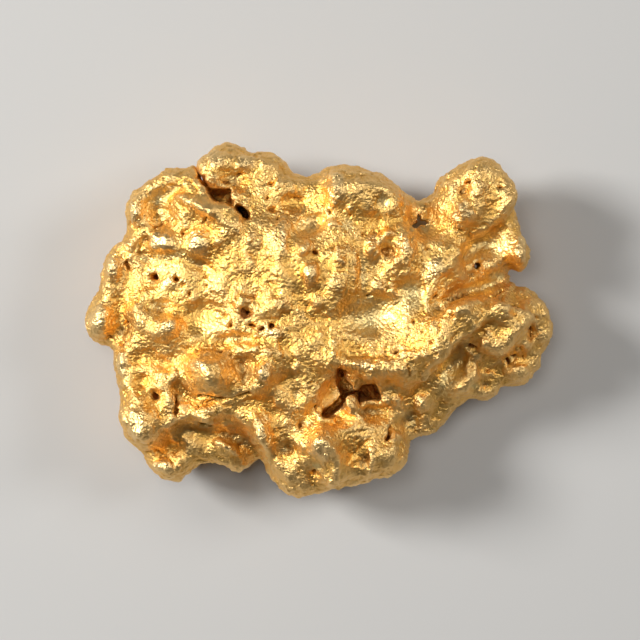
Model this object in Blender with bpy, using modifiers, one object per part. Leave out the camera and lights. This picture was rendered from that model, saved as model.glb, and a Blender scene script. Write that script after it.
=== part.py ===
"""Gold nugget, one solid piece of native metal lying on its worn underside.

The plan outline is filled to a slab, and its two faces are lifted to the heights
of the upper and lower side. Ledges, ridges, lumps and hollows shape the heights,
deep cavities and holes are cut, and the underside is worn flat where it rests.
+Z is up, +X runs along the longest side, and the origin is at the foot of the
bounding box. Tables are in millimetres on a nugget of PLAN_LENGTH.
"""

import math

import bmesh
import bpy
import numpy as np
from mathutils import Matrix, Vector, noise

# Driving dimensions, in metres
NUGGET_LENGTH = 0.0312
PLAN_LENGTH = 31.2
MM = NUGGET_LENGTH / PLAN_LENGTH

# Fineness of the model, in table millimetres
SLAB_HALF = 0.6
SLAB_VOXEL = 0.3
BODY_VOXEL = 0.26
SKIN_VOXEL = 0.17
TRIANGLES = 9200

# How far in from the plan outline each side is still rounded
UPPER_ROUNDING = 1.4
LOWER_ROUNDING = 3.0
UPPER_BOLDNESS = 2.6
LOWER_BOLDNESS = 2.0

# Reach and falloff of the blend between spot heights, and the half width of
# the steep face of a ledge
SPOT_REACH = 0.9
SPOT_FALLOFF = 2.0
LEDGE_FACE = 0.18

# Crumpled lumps with creases between them over the whole skin:
# (wavelength, height on the upper side, height on the lower side).
# They fade within RIM_BAND of the rim, which keeps to the plan outline.
SKIN_WAVES = ((4.4, 0.3, 1.0), (2.2, 0.42, 1.3), (1.3, 0.32, 0.6))
RIM_BAND = 1.0
SIDEWAYS = 0.8
SKIN_SEED = Vector((3.1, 7.7, 1.3))

# The worn face that it rests on is cut this far up into the lowest lumps, by a
# block of WEAR_BLOCK half length and height
WEAR = 0.5
WEAR_BLOCK = (20.0, 5.0)

# Cavities are cut from above the nugget, and holes right through it
CAVITY_TOP = 12.0
HOLE_SPAN = (-7.0, 17.0)
HOLE_SIDES = 12

GOLD_COLOUR = (0.86, 0.60, 0.24, 1.0)
GOLD_ROUGHNESS = 0.38

# Plan outline, clockwise from the notch on the left, one list for each lobe
EAR = [
    (-12.55, 5.95), (-12.75, 6.4), (-12.9, 7.0), (-12.85, 7.5), (-12.65, 8.1), (-12.3, 8.55),
    (-11.7, 9.1), (-11.0, 9.45), (-10.4, 9.85), (-9.8, 10.1), (-9.0, 10.15), (-8.4, 10.05),
]
CROWN = [
    (-8.15, 9.75), (-8.15, 10.1), (-7.95, 10.6), (-7.5, 10.85), (-7.2, 11.2), (-6.9, 11.5),
    (-6.4, 11.75), (-6.0, 11.8), (-5.6, 11.6), (-5.2, 11.5), (-5.0, 11.25), (-4.6, 11.15),
    (-4.1, 11.15), (-3.6, 11.1), (-3.1, 11.1), (-2.7, 10.9), (-2.35, 10.6), (-2.1, 10.2),
    (-2.15, 9.85), (-1.9, 9.7),
]
DOME = [
    (-1.4, 9.6), (-0.9, 9.5), (-0.5, 9.5), (-0.2, 9.7), (0.1, 10.0), (0.5, 10.2), (1.0, 10.28),
    (1.7, 10.25), (2.3, 10.15), (3.0, 10.05), (3.6, 9.9), (4.05, 9.75), (4.4, 9.45),
    (4.9, 9.15), (5.3, 8.85), (5.6, 8.6), (5.85, 8.15),
]
HORN = [
    (6.3, 7.95), (6.7, 7.9), (7.0, 8.05), (7.4, 8.15), (7.6, 8.35), (7.75, 8.9), (7.9, 9.4),
    (8.3, 9.7), (8.7, 9.95), (9.1, 10.15), (9.8, 10.45), (10.4, 10.7), (11.1, 10.8),
    (11.5, 10.6), (12.0, 10.15), (12.4, 9.7), (12.8, 9.2), (13.05, 8.8), (13.05, 8.0),
    (12.95, 7.3), (13.0, 6.8),
]
TOOTH = [
    (13.25, 6.2), (13.45, 5.6), (13.65, 5.15), (13.8, 4.8), (13.85, 4.3), (13.8, 3.7),
    (13.6, 3.2), (13.3, 3.1), (13.1, 3.3), (12.7, 3.6), (12.4, 3.7), (12.25, 3.35),
]
SHOULDER = [
    (12.35, 2.95), (12.35, 2.65), (12.75, 2.55), (13.1, 2.3), (13.6, 2.25), (13.95, 2.1),
    (14.2, 1.7), (14.5, 1.45), (14.8, 1.2), (15.1, 0.7), (15.35, 0.2), (15.6, -0.3),
    (15.6, -0.75), (15.4, -1.3), (15.1, -1.85), (14.8, -1.95), (14.75, -2.15), (14.8, -2.6),
    (14.65, -3.2), (14.4, -3.6), (14.0, -3.9), (13.6, -4.3), (13.3, -4.45), (12.7, -4.4),
    (12.3, -4.3),
]
APRON = [
    (12.05, -4.6), (11.9, -4.95), (11.3, -5.15), (10.7, -5.25), (10.2, -5.15), (9.85, -5.15),
    (9.5, -5.6), (8.95, -6.1), (8.1, -7.0), (7.6, -7.55), (6.8, -7.8), (5.93, -7.74),
]
KEEL = [
    (5.8, -8.4), (5.7, -9.1), (5.4, -9.6), (5.0, -10.05), (4.7, -10.35), (4.2, -10.35),
    (3.6, -10.4), (3.2, -10.6), (2.6, -10.8), (2.0, -10.95), (1.3, -11.1), (0.6, -11.35),
    (0.0, -11.45), (-0.6, -11.6), (-1.0, -11.8), (-1.4, -11.95), (-1.9, -11.7),
    (-2.5, -11.35), (-2.9, -11.05), (-3.1, -10.6), (-3.4, -10.0), (-3.65, -9.4),
    (-4.0, -8.85), (-4.25, -8.5),
]
SHELF = [
    (-4.37, -8.7), (-4.3, -9.1), (-4.6, -9.4), (-4.85, -9.8), (-5.2, -10.05), (-5.7, -10.0),
    (-6.3, -9.8), (-7.0, -9.6), (-7.8, -9.55), (-8.3, -9.7), (-8.6, -10.0), (-8.7, -10.3),
    (-9.0, -10.6), (-9.4, -10.75), (-10.2, -10.75), (-10.8, -10.5), (-11.3, -10.1),
    (-11.6, -9.6), (-11.7, -9.1), (-11.65, -8.8),
]
FOOT = [
    (-12.0, -8.55), (-12.5, -8.35), (-12.85, -7.9), (-13.1, -7.2), (-13.3, -6.3),
    (-13.25, -5.6), (-13.2, -5.1), (-13.35, -4.5), (-13.5, -3.5), (-13.6, -2.8),
    (-13.8, -2.4), (-13.5, -2.1),
]
CHEEK = [
    (-13.7, -1.9), (-13.95, -1.6), (-14.3, -1.55), (-14.7, -1.6), (-15.2, -1.3),
    (-15.5, -0.9), (-15.6, -0.4), (-15.55, 0.2), (-15.45, 0.7), (-15.2, 1.3), (-14.95, 1.75),
    (-14.65, 2.15), (-14.6, 2.6), (-14.6, 3.2), (-14.5, 3.7), (-14.25, 4.2), (-13.9, 4.5),
    (-13.5, 4.8), (-13.25, 5.2), (-12.9, 5.6),
]
OUTLINE = EAR + CROWN + DOME + HORN + TOOTH + SHOULDER + APRON + KEEL + SHELF + FOOT + CHEEK

# Heights of the upper side at places on it: (x, y, height)
UPPER_SPOTS = [
    (-12.2, 8.0, 6.6), (-9.5, 9.6, 6.6), (-10.4, 7.6, 6.8), (-8.2, 7.4, 8.0), (-6.5, 10.6, 6.9),
    (-3.6, 10.3, 6.7), (-1.2, 8.6, 7.0), (2.6, 8.6, 7.8), (5.0, 7.6, 7.6), (6.8, 7.0, 5.9),
    (9.0, 7.6, 7.3), (11.3, 9.2, 7.2), (12.8, 5.0, 6.4), (10.6, 4.8, 6.2), (8.0, 4.0, 7.7),
    (13.2, 2.0, 5.1), (10.8, 2.3, 5.9), (11.5, 0.4, 8.2), (13.4, 0.2, 7.2), (15.0, -0.6, 4.8),
    (11.8, -1.5, 6.9), (10.8, -0.5, 8.0), (9.3, 0.2, 8.5), (7.4, -1.5, 8.9), (14.0, -3.0, 4.5), (11.6, -3.6, 4.8),
    (9.0, -3.4, 6.1), (8.2, -6.2, 4.5), (6.3, -6.9, 4.6), (4.2, 0.6, 7.6), (5.2, 4.2, 8.4),
    (1.0, 3.0, 8.6), (-2.0, 4.0, 8.6), (-5.2, 4.5, 8.2), (-8.5, 3.0, 7.6), (-12.5, 3.0, 6.4),
    (-14.2, 0.3, 5.6), (-10.5, 0.0, 7.3), (-7.3, 0.4, 7.6), (-3.8, 0.2, 8.4), (0.5, -1.5, 8.3),
    (-1.5, -4.0, 7.8), (-3.6, -3.6, 8.4), (-7.2, -3.4, 8.1), (-12.8, -3.4, 6.6),
    (-10.2, -4.4, 7.0), (-11.8, -6.6, 7.0), (-8.0, -5.7, 6.9), (-8.0, -8.4, 5.0),
    (-5.3, -8.6, 4.9), (-10.4, -9.8, 4.2), (-3.6, -7.2, 7.0), (0.6, -8.2, 7.8),
    (-1.2, -10.6, 6.2), (3.0, -9.2, 6.9), (4.6, -8.8, 6.5), (1.4, -5.6, 6.9), (4.6, -5.4, 6.4),
    (4.4, -3.0, 8.2),
]

# Heights of the rim, where the upper side meets the lower one
RIM_SPOTS = [
    (-12.5, 8.0, 4.6), (-6.5, 11.5, 4.0), (2.0, 10.0, 4.6), (6.7, 8.0, 3.6), (11.5, 10.5, 4.8),
    (13.7, 4.5, 4.2), (12.3, 3.0, 3.4), (15.5, -0.5, 3.0), (14.0, -4.0, 2.9), (10.5, -5.2, 2.8),
    (7.0, -7.7, 3.0), (5.0, -10.0, 4.0), (-1.4, -11.8, 3.8), (-4.3, -8.6, 2.8),
    (-7.5, -9.6, 2.7), (-11.0, -10.3, 2.5), (-13.2, -6.0, 4.2), (-13.6, -2.2, 3.2),
    (-15.5, 0.0, 3.8), (-14.4, 3.5, 3.6), (-12.6, 5.9, 3.4),
]

# Heights of the lower side
LOWER_SPOTS = [
    (-9.0, 6.0, 0.9), (-3.0, 9.0, 1.2), (3.0, 8.0, 0.6), (10.0, 8.5, 1.6), (12.5, 4.5, 1.9),
    (8.5, 2.0, 0.1), (13.0, -1.0, 0.9), (10.0, -3.5, 0.5), (6.0, -5.5, 0.9), (2.0, -8.5, 0.0),
    (-1.5, -9.0, 0.2), (-6.5, -7.5, 1.0), (-9.8, -9.0, 0.7), (-11.5, -5.0, 0.6),
    (-13.5, 0.0, 1.4), (-9.5, 1.5, 0.0), (-5.0, 4.5, 0.7), (0.0, 4.0, 0.9), (-4.0, -1.0, 0.3),
    (1.0, -1.5, 0.0), (4.5, 0.5, 0.4), (-5.5, -4.5, 0.8), (2.5, -4.8, 0.7),
]

# Ledges of the upper side, (rise, reach, points): the ground to the left of the
# line, seen along it, stands higher by the rise, which fades away over the reach
LEDGES = [
    (1.5, 1.2, [(5.6, -4.5), (6.0, -4.35), (6.95, -3.8), (7.35, -3.2), (7.95, -2.75),
                (8.4, -2.3), (8.7, -1.6), (9.2, -1.3), (9.7, -1.05), (10.3, -0.5)]),
    (1.4, 1.1, [(10.9, -2.0), (11.5, -2.4), (12.3, -2.2), (12.7, -1.5), (13.2, -0.8),
                (13.8, -0.2), (14.35, 0.1), (13.7, 0.7), (12.9, 1.0), (12.0, 1.15),
                (11.1, 1.6), (10.3, 1.4), (9.2, 1.1), (8.3, 0.7)]),
    (1.0, 1.1, [(9.25, 4.2), (9.3, 5.0), (9.9, 5.35), (11.0, 5.9), (11.7, 6.45), (12.2, 7.0),
                (12.6, 7.75), (12.9, 8.4)]),
    (1.4, 1.2, [(-11.2, -8.6), (-10.4, -7.5), (-9.4, -6.6), (-8.4, -6.4), (-7.8, -6.75),
                (-7.1, -6.95), (-6.5, -6.5), (-5.6, -6.3), (-4.9, -6.9), (-4.5, -7.9),
                (-4.2, -8.7)]),
    (0.8, 0.9, [(-8.6, -4.6), (-8.0, -4.95), (-6.3, -5.2), (-4.6, -4.8)]),
    (0.5, 1.0, [(1.4, 10.2), (1.7, 8.6), (1.5, 7.4), (1.3, 6.6)]),
    (0.8, 0.9, [(6.6, 5.4), (6.0, 6.0), (5.5, 6.8), (5.5, 8.0)]),
    (0.5, 0.8, [(5.0, -2.35), (3.4, -2.4), (1.7, -2.3)]),
    (0.8, 1.0, [(5.0, -6.2), (3.7, -6.7), (2.6, -6.7), (0.6, -6.9), (-0.3, -6.8)]),
    (0.7, 0.8, [(7.2, 2.9), (7.05, 1.8), (7.0, 0.6)]),
    (0.8, 0.8, [(-10.4, -3.4), (-11.1, -2.9), (-11.8, -2.8), (-12.4, -3.2), (-12.7, -4.0),
                (-12.5, -4.9)]),
    (0.6, 0.8, [(-9.3, -1.9), (-8.0, -1.5), (-7.0, -1.2), (-6.0, -0.9)]),
]

# Ridges of the upper side, and troughs where the rise is below zero: (rise, half width, points)
RIDGES = [
    (0.7, 0.65, [(-12.5, 6.2), (-12.4, 7.0), (-12.15, 7.9), (-11.4, 8.8), (-10.3, 9.4),
                 (-9.2, 9.65), (-8.3, 9.4), (-7.8, 8.8)]),
    (0.5, 0.55, [(-9.2, 8.0), (-8.4, 7.7), (-7.6, 7.3), (-7.0, 6.9)]),
    (0.6, 0.75, [(0.8, 9.6), (1.15, 8.7), (0.9, 7.7), (0.6, 7.0)]),
    (0.35, 0.6, [(-2.6, 6.3), (-2.75, 5.2), (-2.5, 4.6), (-2.8, 3.8), (-2.6, 3.0),
                 (-1.9, 2.4)]),
    (0.7, 0.9, [(0.2, -7.7), (0.75, -8.5), (1.1, -9.4), (1.05, -10.6)]),
    (0.5, 0.5, [(3.7, -8.0), (3.45, -8.8), (3.35, -9.9)]),
    (0.6, 0.6, [(-13.0, -2.1), (-13.15, -3.3), (-13.0, -4.4)]),
    (0.7, 0.6, [(-4.1, -6.4), (-4.0, -7.3), (-3.6, -8.2), (-3.3, -9.4)]),
    (0.5, 0.6, [(2.0, -2.9), (3.1, -3.5), (4.3, -3.2), (5.5, -3.0)]),
    (0.6, 0.4, [(1.95, -5.1), (2.1, -5.8), (2.6, -6.5)]),
    (0.4, 0.4, [(-0.2, -6.3), (0.5, -6.6)]),
    (0.5, 0.5, [(-11.1, -6.2), (-11.4, -7.0), (-11.7, -7.8)]),
    (0.4, 0.45, [(13.5, 0.0), (13.05, -0.8), (12.6, -1.5)]),
    (0.4, 0.45, [(5.7, 5.7), (5.9, 4.8), (5.6, 3.9)]),
    (0.35, 0.5, [(10.2, -1.9), (10.2, -2.9), (10.1, -3.9), (9.6, -4.9)]),
    (-0.5, 0.5, [(-11.9, 4.8), (-11.1, 4.05), (-9.9, 4.15), (-9.1, 4.1), (-8.4, 3.85),
                 (-7.6, 3.6)]),
    (-0.7, 0.7, [(8.8, 1.5), (10.2, 2.0), (10.9, 2.2), (12.0, 2.6), (12.4, 3.3)]),
    (-0.4, 0.45, [(2.8, 4.4), (2.75, 3.1), (2.8, 1.9)]),
    (-0.5, 0.5, [(-13.0, 4.3), (-12.7, 3.4), (-12.6, 2.2)]),
]

# Lumps and hollows of the upper side: (x, y, half length, half width, turn in degrees, rise)
LUMPS = [
    (-10.2, 5.1, 1.2, 1.0, 10, 0.7), (-8.1, 4.9, 1.1, 1.2, 0, 0.7),
    (-6.5, 7.0, 2.0, 1.1, -35, 0.8), (-12.6, 4.9, 0.7, 0.5, -20, 0.4),
    (-7.1, 10.2, 1.1, 1.3, 0, 0.6), (-5.0, 10.4, 1.1, 0.9, 0, 0.5), (-3.4, 10.2, 1.1, 0.9, 0, 0.5),
    (-13.8, 3.7, 0.9, 1.2, 10, 0.8), (-14.2, 2.2, 0.6, 0.6, 0, 0.5),
    (-14.5, 0.1, 1.15, 1.8, -15, 1.1), (-9.9, -0.5, 1.2, 0.9, 10, 0.9),
    (-7.2, -3.4, 1.7, 1.7, 0, 1.6), (-9.5, -3.6, 0.5, 0.7, 0, 0.7),
    (-12.3, -6.7, 1.5, 2.0, 0, 0.8), (-7.1, -5.9, 1.2, 0.6, 10, 0.6), (-6.1, -6.9, 0.7, 0.5, 0, 0.4),
    (-10.0, -5.2, 0.6, 0.8, 0, 0.5), (-10.4, -9.8, 1.4, 1.0, -20, 1.0),
    (-6.2, -8.4, 1.1, 0.5, -25, 0.7), (3.2, 8.4, 2.4, 2.0, -10, 0.7),
    (-0.6, 3.0, 0.75, 1.1, 0, 0.7), (-1.05, 4.6, 0.6, 1.0, -25, 0.5), (0.75, 6.3, 0.6, 0.5, 0, 0.6),
    (3.4, 4.6, 0.6, 0.6, 0, 0.5), (4.5, 5.7, 0.8, 0.55, 0, 0.5), (5.1, 3.9, 0.5, 0.6, 0, 0.4),
    (3.9, 2.2, 0.6, 0.6, 0, 0.4), (9.6, 7.05, 1.0, 1.0, 0, 0.5), (10.4, 8.7, 0.6, 1.1, 10, 0.5),
    (13.35, 4.6, 0.8, 1.3, -10, 0.9), (9.2, 0.7, 1.0, 0.6, 20, 0.6), (7.9, 3.6, 1.0, 1.1, 0, 0.3),
    (11.4, -1.5, 0.9, 1.1, -10, 0.4), (15.1, -0.7, 0.8, 1.4, 0, 0.9), (13.6, -1.7, 0.6, 0.6, 0, 0.5),
    (13.3, -3.4, 1.1, 0.8, 0, 0.8), (14.5, -2.8, 0.5, 0.9, 0, 0.5), (10.7, -3.5, 1.2, 0.6, 0, 0.4),
    (10.8, -5.0, 1.3, 0.45, 0, 0.6), (6.9, -5.5, 0.8, 0.9, 0, 0.9), (9.2, -4.6, 1.0, 0.5, 20, 0.4),
    (5.1, -5.3, 0.5, 0.45, 0, 0.5), (4.4, -5.25, 0.4, 0.4, 0, 0.4), (5.1, -7.65, 0.7, 0.7, 0, 0.5),
    (-3.7, -3.5, 0.8, 0.9, 0, 0.6), (-3.9, -2.0, 1.5, 0.6, 0, 0.6), (-2.4, -2.4, 0.7, 0.9, -20, 0.4),
    (-0.3, -8.6, 1.4, 1.3, 30, 0.5), (-1.8, -9.9, 1.4, 1.2, 20, 0.4), (4.4, -9.0, 1.2, 0.9, 0, 0.6),
    (-4.6, 5.1, 0.7, 0.8, 0, 0.4), (-6.6, 5.1, 0.5, 0.6, 0, 0.4), (-12.0, 0.4, 0.5, 1.4, 5, 0.5),
    (6.3, -2.4, 0.9, 0.7, 0, 0.5), (-5.1, 1.4, 0.7, 0.6, 0, 0.5), (7.8, -0.6, 1.3, 0.8, -20, 0.3),
    (-2.3, 1.1, 1.0, 0.8, 20, 0.4), (-0.3, 1.2, 0.7, 0.6, 0, 0.4), (-2.9, -0.9, 0.9, 0.6, -10, 0.4),
    (-0.5, -1.6, 1.1, 0.7, 30, 0.4), (0.6, -2.7, 0.7, 0.6, 0, 0.3), (-6.6, 2.2, 1.1, 0.8, 0, 0.3),
    (1.2, 4.1, 0.5, 0.9, 15, 0.4), (1.0, 2.3, 0.8, 0.8, 0, 0.3), (-2.7, 8.9, 0.6, 0.6, 0, 0.4),
]
HOLLOWS = [
    (-10.9, 7.9, 1.3, 0.9, 50, -0.5), (-10.3, 6.9, 1.0, 0.8, 0, -0.6), (-9.6, 8.4, 0.8, 0.6, 20, -0.3),
    (-0.6, 6.2, 1.7, 0.8, 22, -0.6), (-11.5, 5.3, 0.6, 0.45, 0, -0.8), (-10.45, 0.85, 1.0, 0.75, 0, -0.7),
    (-7.5, 0.0, 1.7, 1.5, 0, -0.5), (-5.6, -1.2, 1.3, 0.5, 0, -0.4), (-5.1, -3.3, 0.7, 1.3, 15, -0.55),
    (-6.6, -1.9, 0.5, 0.4, 0, -0.4), (-11.6, -3.9, 1.0, 1.1, 0, -0.6), (-10.95, -4.95, 0.5, 0.5, 0, -0.6),
    (-8.7, -7.3, 0.8, 0.6, 0, -0.5), (-6.1, -7.7, 1.0, 0.5, -10, -0.4), (-4.9, -8.1, 0.5, 0.5, 0, -0.4),
    (-13.3, -0.9, 0.7, 0.7, 0, -0.6), (3.4, 0.2, 2.4, 1.5, 0, -0.7), (5.9, 1.7, 1.1, 1.2, 0, -0.4),
    (7.7, 0.8, 0.9, 0.8, 0, -0.5), (4.4, 4.5, 0.7, 0.55, 0, -0.7), (3.7, 3.5, 0.6, 0.7, 0, -0.5),
    (4.1, 7.8, 0.7, 0.7, 0, -0.5), (1.9, 6.2, 0.7, 0.7, 0, -0.4), (6.6, 6.5, 1.2, 1.1, 0, -0.35),
    (9.5, 8.6, 0.6, 0.8, 0, -0.5), (11.9, 9.0, 0.6, 0.6, 0, -0.4), (11.5, 7.6, 0.9, 0.8, 0, -0.4),
    (9.0, 9.4, 0.8, 0.5, 20, -0.3), (11.1, 4.8, 2.0, 1.1, 10, -0.4), (9.7, 4.1, 0.6, 0.8, 0, -0.4),
    (10.0, 3.0, 0.6, 0.45, 0, -0.5), (11.7, 2.9, 0.7, 0.6, 0, -0.5), (9.7, -1.7, 0.7, 0.7, 0, -0.3),
    (8.8, -3.2, 1.0, 2.0, -20, -0.3), (13.9, -1.0, 0.5, 0.8, 10, -0.25), (12.8, -2.6, 0.7, 0.5, 30, -0.35),
    (10.1, -4.3, 0.6, 0.4, 0, -0.8), (10.95, -4.3, 0.6, 0.4, 0, -0.8), (6.0, -6.6, 0.9, 0.9, 0, -0.5),
    (-1.6, -4.9, 0.7, 0.7, 0, -0.6), (-1.2, -6.9, 0.8, 0.5, 0, -0.6), (3.2, -6.1, 1.1, 0.4, 5, -0.6),
    (4.8, -4.4, 0.7, 0.5, 0, -0.8), (2.85, -9.3, 0.7, 1.0, 0, -0.35), (-0.3, -9.7, 0.7, 0.6, 0, -0.5),
    (-2.4, -8.3, 0.9, 0.8, 0, -0.5), (-5.6, 9.1, 1.1, 0.8, 0, -0.35), (-1.5, 7.7, 1.2, 0.7, 0, -0.4),
    (-4.5, 1.9, 0.7, 0.4, 0, -0.5), (0.7, -4.7, 0.9, 1.1, -20, -0.5), (1.2, -6.2, 0.8, 0.4, 20, -0.4),
    (-2.2, -4.1, 1.2, 1.0, -20, -0.3), (-9.4, -8.3, 0.8, 0.7, 0, -0.5), (5.1, -2.0, 0.5, 0.4, 0, -0.5),
]

# Lumps and hollows of the lower side; a positive rise stands out below
UNDERSIDE = [
    (-10.0, 2.0, 2.8, 2.2, 20, 0.7), (9.0, 2.5, 2.8, 2.2, -20, 0.9), (0.5, -7.8, 2.8, 2.0, 0, 0.7),
    (1.0, -1.0, 2.6, 2.2, 10, 0.1), (-6.2, 5.6, 2.0, 1.3, 35, 0.6), (4.2, 6.4, 1.9, 1.4, -15, 0.5),
    (-10.6, -5.6, 1.6, 1.9, 0, 0.6), (12.6, -1.8, 1.5, 1.8, 0, 0.6), (7.4, -4.6, 1.7, 1.2, -30, 0.5),
    (-4.6, -5.4, 1.9, 1.2, 30, -0.7), (-3.0, 2.6, 2.2, 1.2, -25, -0.8), (5.2, -2.2, 1.6, 1.1, 0, -0.6),
    (5.8, 3.6, 1.5, 1.0, 40, -0.6), (-8.0, -1.6, 1.6, 1.0, 0, -0.6), (9.9, 6.2, 1.6, 1.0, 20, -0.5),
    (-8.0, 8.4, 1.4, 0.9, 0, -0.5), (0.6, 8.2, 1.8, 0.8, 0, -0.5), (-12.9, 0.8, 0.9, 1.4, 0, 0.5),
    (6.6, 6.8, 1.9, 1.7, 0, -2.0),
]

# Deep cavities, (lowest height, outline in plan)
CAVITIES = {
    "slot": (2.4, [(1.0, -3.25), (1.3, -3.0), (1.65, -3.15), (1.75, -3.75), (2.0, -4.2),
                   (2.3, -4.65), (2.2, -5.0), (1.6, -4.95), (1.25, -4.6), (1.15, -4.0)]),
    "chamber_mouth": (2.0, [(2.2, -4.75), (2.7, -4.4), (3.2, -4.12), (3.75, -4.3),
                            (3.85, -4.8), (4.2, -5.0), (4.05, -5.35), (3.2, -5.2),
                            (2.8, -5.25), (2.7, -5.7), (2.35, -5.6)]),
    "side_slot": (3.2, [(0.1, -6.15), (0.45, -5.85), (1.0, -5.35), (1.4, -4.9), (2.0, -4.8),
                        (1.8, -5.4), (1.2, -5.9), (0.5, -6.4)]),
    "cleft_mouth": (2.3, [(-8.4, 10.5), (-8.3, 9.9), (-8.05, 9.4), (-7.75, 9.0), (-7.4, 8.5),
                          (-7.0, 8.55), (-7.3, 9.0), (-7.65, 9.5), (-7.9, 9.95), (-7.95, 10.4)]),
    "cleft": (2.6, [(-7.45, 8.6), (-7.15, 8.05), (-6.9, 7.75), (-6.2, 7.7), (-5.7, 7.3),
                    (-5.6, 7.7), (-5.85, 8.1), (-5.75, 8.6), (-6.3, 8.65), (-7.0, 8.7)]),
    "crown_pit": (3.8, [(-5.7, 7.45), (-5.1, 7.6), (-4.65, 7.0), (-4.6, 6.65), (-4.95, 6.5),
                        (-5.3, 6.9)]),
    "centre_pit": (5.6, [(-5.1, 0.75), (-4.7, 0.8), (-4.4, 0.35), (-4.75, 0.15)]),
}

# Rooms under the surface that the cavities open into:
# (x, y, height, half length, half width, half height, turn)
ROOMS = {
    "slot_room": (2.3, -4.6, 3.6, 2.1, 1.2, 1.5, -20),
    "cleft_room": (-6.5, 8.2, 4.4, 1.3, 0.8, 1.2, -25),
}

# Holes through: (x, y, radius)
HOLES = [(10.38, 3.64, 0.28), (6.55, 6.42, 0.26)]


def along(points):
    """Start, direction and length of every straight run between neighbouring points."""
    ends = np.asarray(points, float)
    runs = ends[1:] - ends[:-1]
    lengths = np.linalg.norm(runs, axis=1)
    return ends[:-1], runs / lengths[:, None], lengths


def line_distance(plan, points):
    """Distance of each place in plan from a line, and the side it lies on, +1 to the left."""
    best = np.full(len(plan), np.inf)
    side = np.ones(len(plan))
    for start, heading, length in zip(*along(points)):
        offset = plan - start
        reach = np.clip(offset @ heading, 0.0, length)
        away = offset - reach[:, None] * heading
        gap = np.hypot(away[:, 0], away[:, 1])
        nearer = gap < best - 1e-9
        best[nearer] = gap[nearer]
        across = heading[0] * offset[:, 1] - heading[1] * offset[:, 0]
        side[nearer] = np.sign(across[nearer])
    return best, side


def spot_height(plan, spots):
    """Height at each place in plan, blended smoothly from the spot heights near it."""
    total = np.zeros(len(plan))
    weights = np.zeros(len(plan))
    for x, y, height in spots:
        squared = (plan[:, 0] - x) ** 2 + (plan[:, 1] - y) ** 2 + SPOT_REACH**2
        weight = squared**-SPOT_FALLOFF
        total += weight * height
        weights += weight
    return total / weights


def oval_share(plan, x, y, half_length, half_width, turn):
    """1 at the middle of an oval, falling to 0 at its edge and beyond."""
    angle = math.radians(turn)
    dx = plan[:, 0] - x
    dy = plan[:, 1] - y
    u = (dx * math.cos(angle) + dy * math.sin(angle)) / half_length
    v = (dy * math.cos(angle) - dx * math.sin(angle)) / half_width
    return np.clip(1.0 - u * u - v * v, 0.0, None)


def ovals(plan, table):
    return sum(rise * oval_share(plan, *oval) for *oval, rise in table)


def ledge(plan, rise, reach, points):
    gap, side = line_distance(plan, points)
    step = np.tanh(gap / LEDGE_FACE) * side
    return 0.5 * rise * step * np.exp(-((gap / reach) ** 2))


def ridge(plan, rise, half_width, points):
    gap, _ = line_distance(plan, points)
    return rise * np.clip(1.0 - (gap / half_width) ** 2, 0.0, None)


def upper_height(plan):
    height = spot_height(plan, UPPER_SPOTS) + ovals(plan, LUMPS) + ovals(plan, HOLLOWS)
    height += sum(ledge(plan, *row) for row in LEDGES)
    height += sum(ridge(plan, *row) for row in RIDGES)
    return height


def lower_height(plan):
    return spot_height(plan, LOWER_SPOTS) - ovals(plan, UNDERSIDE)


def rounding(distance, radius, boldness):
    """Share of the full height at a distance in from the rim, along a bold quarter round."""
    inward = np.clip(distance / radius, 0.0, 1.0)
    return (1.0 - (1.0 - inward) ** boldness) ** (1.0 / boldness)


def link(mesh, name):
    obj = bpy.data.objects.new(name, mesh)
    bpy.context.scene.collection.objects.link(obj)
    return obj


def applied(obj):
    """The object with its modifiers, or its curve, turned into a plain mesh."""
    graph = bpy.context.evaluated_depsgraph_get()
    mesh = bpy.data.meshes.new_from_object(obj.evaluated_get(graph))
    name = obj.name
    bpy.data.objects.remove(obj)
    return link(mesh, name)


def remeshed(obj, voxel):
    remesh = obj.modifiers.new("Even faces", "REMESH")
    remesh.mode = "VOXEL"
    remesh.voxel_size = voxel * MM
    return applied(obj)


def prism(name, points, low, high, smooth=True):
    """Solid between two heights over a closed outline in plan."""
    curve = bpy.data.curves.new(name, "CURVE")
    curve.dimensions = "2D"
    curve.fill_mode = "BOTH"
    curve.extrude = 0.5 * (high - low) * MM
    curve.resolution_u = 3
    spline = curve.splines.new("BEZIER")
    spline.bezier_points.add(len(points) - 1)
    for knot, (x, y) in zip(spline.bezier_points, points):
        knot.co = (x * MM, y * MM, 0.5 * (low + high) * MM)
        knot.handle_left_type = knot.handle_right_type = "AUTO" if smooth else "VECTOR"
    spline.use_cyclic_u = True
    obj = applied(link(curve, name))
    welded = bmesh.new()
    welded.from_mesh(obj.data)
    bmesh.ops.remove_doubles(welded, verts=welded.verts, dist=0.001 * MM)
    bmesh.ops.recalc_face_normals(welded, faces=welded.faces)
    welded.to_mesh(obj.data)
    welded.free()
    return obj


def points_of(obj):
    flat = np.empty(len(obj.data.vertices) * 3)
    obj.data.vertices.foreach_get("co", flat)
    return flat.reshape(-1, 3) / MM


def move_points(obj, points):
    obj.data.vertices.foreach_set("co", (points * MM).ravel())
    obj.data.update()


def lift_faces(slab):
    """Lifts the slab's two faces to the heights of the upper and the lower side."""
    points = points_of(slab)
    plan = points[:, :2]
    distance, _ = line_distance(plan, OUTLINE + OUTLINE[:1])
    rim = spot_height(plan, RIM_SPOTS)
    upper_share = rounding(distance, UPPER_ROUNDING, UPPER_BOLDNESS)
    lower_share = rounding(distance, LOWER_ROUNDING, LOWER_BOLDNESS)
    upper = rim + (upper_height(plan) - rim) * upper_share
    lower = rim + (lower_height(plan) - rim) * lower_share
    share = np.clip(0.5 + 0.5 * points[:, 2] / SLAB_HALF, 0.0, 1.0)
    points[:, 2] = lower + (upper - lower) * share
    move_points(slab, points)


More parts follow.
